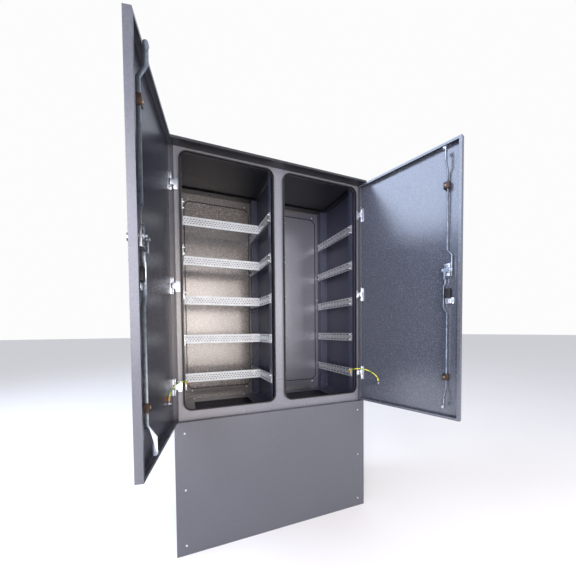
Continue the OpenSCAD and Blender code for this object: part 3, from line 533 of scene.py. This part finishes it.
MATERIALS = {
    "powder_coat": PAINT,
    "galvanised_steel": RAIL_ZINC,
    "zinc_plate": ZINC,
    "edge_seal_rubber": RUBBER,
    "guide_plastic": BROWN,
    "handle_plastic": BLACK,
    "wire_insulation": RIGHT_PVC,
}
OWN = {
    "plinth_front_cover": PLINTH, "plinth_rear_cover": PLINTH, "plinth_side_panels": PLINTH,
    "base_frame": PLINTH, "roof": ROOF_SHADED, "front_frame": FRAME_PAINT,
    "left_door": DOOR_LEFT_SHADED, "right_door": DOOR_RIGHT_SHEEN, "left_divider_posts": POSTS,
    "left_wall_posts": POSTS, "right_divider_posts": POSTS, "right_wall_posts": POSTS,
    **{f"cross_strap_{i}": STRAP_ZINC for i in range(1, 6)},
    **{f"{s}_{w}_rod": ROD_ZINC for s in SIDES for w in ("upper", "lower")},
}


def dress(obj, *materials):
    """Puts these materials in place of the object's own."""
    obj.data.materials.clear()
    for material in materials:
        obj.data.materials.append(material)


slots = {s["node"]: s["material_slot"] for s in record["subparts"]}
finish_of = {node: OWN.get(node, MATERIALS[slot]) for node, slot in slots.items()}
for node, obj in frame["nodes"].items():
    dress(obj, finish_of[node])


def faced(node, outside, inside, inward, right_inside=None):
    """Gives the faces that look inward a second material. Where a third is given, faces on the
    right half of the cabinet that look inward get that one."""
    obj = frame["nodes"][node]
    dress(obj, *[m for m in (outside, inside, right_inside) if m])
    count = len(obj.data.polygons)
    middle, normal = np.zeros(count * 3), np.zeros(count * 3)
    obj.data.polygons.foreach_get("center", middle)
    obj.data.polygons.foreach_get("normal", normal)
    looks_in = normal.reshape(-1, 3) @ np.asarray(inward, float) > 0.6
    number = looks_in.astype(np.int32)
    if right_inside:
        number += looks_in & (middle.reshape(-1, 3)[:, 0] > 0)
    obj.data.polygons.foreach_set("material_index", number)


faced("rear_frame", PAINT, LEFT_WALLS_GLARE, (0, -1, 0), RIGHT_WALLS)
faced("rear_panels", PAINT, LEFT_WALLS_GLARE, (0, -1, 0), RIGHT_WALLS)
for side, inner in (("left", DOOR_LEFT_SHADED), ("right", DOOR_RIGHT_SHEEN)):
    faced(f"{side}_door", DOOR_OUTSIDE, inner, inward_of(side))

# ---------- Cords ----------

# Each route in mm in the shared frame, from the door's stud over the lip to the rail screw.
LEFT_WIRE = [
    [-567, -336, 792.2], [-567, -336, 800], [-565, -332, 811], [-561, -323, 824],
    [-554, -309, 836], [-544, -292, 845], [-533, -274, 851], [-521, -258, 855],
    [-508, -243, 856], [-499, -232, 855], [-495, -220, 852], [-490, -209, 849],
    [-487, -198, 846], [-487, -190, 841], [-488, -187, 836], [-489, -186, 829.4],
]
RIGHT_WIRE = [
    [580, -332, 792.2], [580, -332, 800], [578, -328, 811], [573, -319, 824], [564, -306, 836],
    [552, -290, 846], [538, -273, 853], [523, -257, 856], [508, -243, 857], [499, -232, 856],
    [495, -220, 853], [490, -209, 850], [487, -198, 846], [487, -190, 841], [488, -187, 836],
    [489, -186, 829.4],
]
WIRE_D = 5.0
BOOT_START, BOOT_END = 0.0002, 0.015
BOOT_RADII = np.array([3.5, 3.8, 3.8, 3.7, 3.6, 3.5, 3.3, 3.1, 2.75]) * MM


def rounded_path(points, per_span=5):
    """A smooth curve through the points: each span is a cubic whose slope at a point is half
    the step between its neighbours."""
    p = np.asarray(points, float)
    before, after = np.vstack([p[:1], p[:-2]]), np.vstack([p[2:], p[-1:]])
    a, b = p[:-1], p[1:]
    out = (b - before) / 2
    into = (after - a) / 2
    t = (np.arange(per_span) / per_span)[:, None, None]
    curve = (
        (2 * t**3 - 3 * t**2 + 1) * a + (t**3 - 2 * t**2 + t) * out
        + (3 * t**2 - 2 * t**3) * b + (t**3 - t**2) * into
    )
    return np.vstack([curve.transpose(1, 0, 2).reshape(-1, 3), p[-1:]])


def earth_wire(side, points, pvc):
    """One earth wire with its two insulating boots, each a tapered sleeve over the crimp."""
    line = rounded_path(np.asarray(points) * MM)
    wire = tube(f"{side}_earth_wire_finished", line, WIRE_D / 2 * MM)
    dress(wire, pvc)
    for end, body in (("door", f"{side}_door"), ("rail", "cabinet")):
        part = line if end == "door" else line[::-1]
        far = distance_along(part)
        at = np.linspace(BOOT_START, BOOT_END, len(BOOT_RADII))
        path = np.stack([np.interp(at, far, part[:, k]) for k in range(3)], 1)
        boot = tube(f"{side}_{end}_boot", path, BOOT_RADII, body=body)
        dress(boot, ORANGE if end == "rail" or side == "left" else pvc)
    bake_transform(wire)
    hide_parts(f"{side}_earth_wire")


earth_wire("left", LEFT_WIRE, LEFT_PVC)
earth_wire("right", RIGHT_WIRE, RIGHT_PVC)

# ---------- Pieces with finished edges ----------

DOOR_EDGES = {
    "lock_case": 0.8, "spindle": 0.6, "handle": 1.6, "handle_plate": 1.0, "upper_rod": 0.5,
    "lower_rod": 0.5, "rod_guides": 1.2, "lock_barrel": 0.5, "upper_roller": 0.8,
    "lower_roller": 0.8, "hinge_leaves": 0.6, "earth_stud": 0.4,
}
EDGES = {f"{side}_{part}": width for side in SIDES for part, width in DOOR_EDGES.items()}
EDGES |= {"hinge_frame_leaves": 0.6, "hinge_pins": 0.8, "floor_bolts": 0.6}
for node, width in EDGES.items():
    done = edged(node, width)
    dress(done, finish_of[node])


# ---------- Dark bead as a painted shadow line ---

# In mm from the cabinet's front left corner: the left rear window's sides, corner radius, and
# the bead in it. The bead is a near-black ring standing in for the shadow line at the window's
# recess: a painted shadow.
WINDOW, WINDOW_CORNER = {"x0": 77, "z0": 720, "x1": 503, "z1": 1934}, 45
BEAD_R, BEAD_INSET, BEAD_DEPTH = 2.4, 2.6, 473.2


def rounded_loop(x0, z0, x1, z1, r, per_corner=10):
    """Points round a rectangle with arcs at its corners, counter-clockwise, as (x, z)."""
    a = np.linspace(0, np.pi / 2, per_corner)
    centres = [(x1 - r, z1 - r), (x0 + r, z1 - r), (x0 + r, z0 + r), (x1 - r, z0 + r)]
    return np.vstack([
        [[cx + r * np.cos(v), cz + r * np.sin(v)] for v in a + k * np.pi / 2]
        for k, (cx, cz) in enumerate(centres)
    ])


def strip_round(name, loop, profile, finish):
    """A profile (outward from the loop, depth y) carried round a loop in the x-z plane: each
    point moves along the loop's outward normal by the profile's first number."""
    step = np.roll(loop, -1, 0) - np.roll(loop, 1, 0)
    step /= np.linalg.norm(step, axis=1)[:, None]
    normal = np.stack([step[:, 1], -step[:, 0]], 1)
    profile = np.asarray(profile, float)
    flat = loop[:, None] + profile[None, :, :1] * normal[:, None]
    depth = np.broadcast_to(profile[None, :, 1], flat.shape[:2])
    points = np.stack([flat[..., 0], depth, flat[..., 1]], 2).reshape(-1, 3)
    strip = piece(
        name, in_cabinet(points), grid_faces(len(loop), len(profile), wrap_rows=True), "cabinet"
    )
    dress(strip, finish)


def mirrored(loop):
    """The same loop in the other half of the cabinet, still counter-clockwise."""
    return np.stack([WIDTH - loop[:, 0], loop[:, 1]], 1)[::-1]


turn = np.linspace(0, 2 * np.pi, 14, endpoint=False)
bead = np.stack([BEAD_R * np.cos(turn) - BEAD_INSET, BEAD_R * np.sin(turn) + BEAD_DEPTH], 1)
window = rounded_loop(**WINDOW, r=WINDOW_CORNER)
for side, loop in (("left", window), ("right", mirrored(window))):
    # A near-black bead round each rear window, as the painted shadow of the recess.
    strip_round(f"{side}_rear_window_shadow_bead", loop, bead, RUBBER)

# ---------- Screws ----------


def button_screws(node, name, finish):
    """Domed heads with a hexagon recess, one piece for each head size. The rings start in the
    recess's middle, go up its six-sided wall, over the dome, whose height falls towards the rim
    as a circle's arc does, and down to the seat and a short shank."""
    recess, shank = 0.46, 0.002
    screws = screw_places(node)
    for r in sorted({round(s[2], 4) for s in screws}):
        group = [s for s in screws if round(s[2], 4) == r]
        height = group[0][3]
        key, floor = r * recess, height * 0.35
        profile = [
            (TIP, floor), (key * 0.9, floor), (key, height * 0.98), (key * 1.1, height),
            (r * 0.72, height * 0.93), (r * 0.9, height * 0.72), (r, height * 0.3), (r, 0),
            (r * 0.5, 0), (r * 0.5, -shank), (TIP, -shank),
        ]
        heads = turned(
            f"{name}_{int(r * 10000)}", [s[0] for s in group], [s[1] for s in group],
            profile, sides=18, body=body_of_node[node], hexagon=(1, 2, 3),
        )
        dress(heads, finish)
        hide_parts(node)


# The screws of the rod guides, in mm: their seats on the closed left door, and the rings of a
# head from the pin in its recess over the dome to the washer.
GUIDE_X, GUIDE_Y, GUIDE_LEVELS = 481, 29, (1775, 863)
DOME = [
    (TIP, 3.4), (1.0, 3.4), (1.6, 2.5), (2.2, 3.3), (3.2, 2.9), (4.0, 2.1), (4.3, 1.1),
    (4.4, 0.6), (5.2, 0.6), (5.4, 0.3), (5.4, 0.05), (TIP, 0.05),
]
for side in SIDES:
    seats = on_door(side, [[GUIDE_X, GUIDE_Y, z] for z in GUIDE_LEVELS])
    heads = turned(
        f"{side}_guide_screws", seats, np.tile(inward_of(side), (2, 1)), np.array(DOME) * MM,
        sides=24, body=f"{side}_door", hexagon=(1, 2),
    )
    dress(heads, COPPERY)

button_screws("cover_screws", "cover_screw_heads", ZINC)
button_screws("rail_screws", "rail_screw_heads", ZINC)

# ---------- Floor and light ----------


def stage_floor():
    """A pale matt floor that reaches far past the cabinet on all sides."""
    far = 60
    mesh = bpy.data.meshes.new("floor")
    corners = [(-far, -far, 0), (far, -far, 0), (far, far, 0), (-far, far, 0)]
    mesh.from_pydata(corners, [], [(0, 1, 2, 3)])
    floor = bpy.data.objects.new("floor", mesh)
    bpy.context.scene.collection.objects.link(floor)
    m, t, skin, place = started("pale_floor", **{"Roughness": 0.9, "Specular IOR Level": 0.1})
    t.links.new(
        mixed(t, noise(t, place, 900, 2.0), linear("F4EFE9"), linear("F8F3ED")),
        skin.inputs["Base Color"],
    )
    dress(floor, m)


def area_light(name, place, aim, size, watts, colour):
    """A rectangular light at a place, turned to a point it is aimed at."""
    data = bpy.data.lights.new(name, "AREA")
    data.shape, data.size, data.size_y = "RECTANGLE", size[0], size[1]
    data.energy, data.color = watts, linear(colour)[:3]
    lamp = bpy.data.objects.new(name, data)
    lamp.matrix_world = Matrix.Translation(place) @ (
        Vector(aim) - Vector(place)
    ).to_track_quat("-Z", "Y").to_matrix().to_4x4()
    bpy.context.scene.collection.objects.link(lamp)


def soft_world():
    """A pale surround: a bright cool upper part over a dimmer warm band at the horizon. The
    camera itself sees plain white."""
    world = bpy.data.worlds.new("studio")
    bpy.context.scene.world = world
    world.use_nodes = True
    t = world.node_tree
    t.nodes.clear()
    up = add(t, "SeparateXYZ", {0: add(t, "TexCoord").outputs["Generated"]}).outputs[2]
    colour = mixed(t, spread(t, up, 0.12, 0.30), linear("A8A29B"), linear("D6DCE8"))
    seen = add(t, "LightPath").outputs["Is Camera Ray"]
    colour = mixed(t, seen, colour, linear("FCFCFC"))
    glow = add(t, "Background", {"Color": colour, "Strength": 1.0})
    add(t, "OutputWorld", {"Surface": glow.outputs[0]})


stage_floor()
soft_world()
area_light("sky", (-4.4, 0.2, 4.2), (0.6, -0.4, 1.5), (4.6, 4.6), 330, "CFE0FF")
area_light("front", (0.0, -4.6, 1.40), (0.0, 0.2, 1.35), (1.75, 2.2), 145, "FFF2EA")
area_light("side", (-2.9, -4.3, 2.3), (-0.66, -0.76, 1.5), (1.1, 3.4), 170, "F0F0FF")
area_light("slit", (1.7, -3.4, 1.9), (0.3, 0.23, 1.35), (0.8, 2.4), 40, "EEF2FF")
bpy.context.scene.view_settings.view_transform = "Standard"
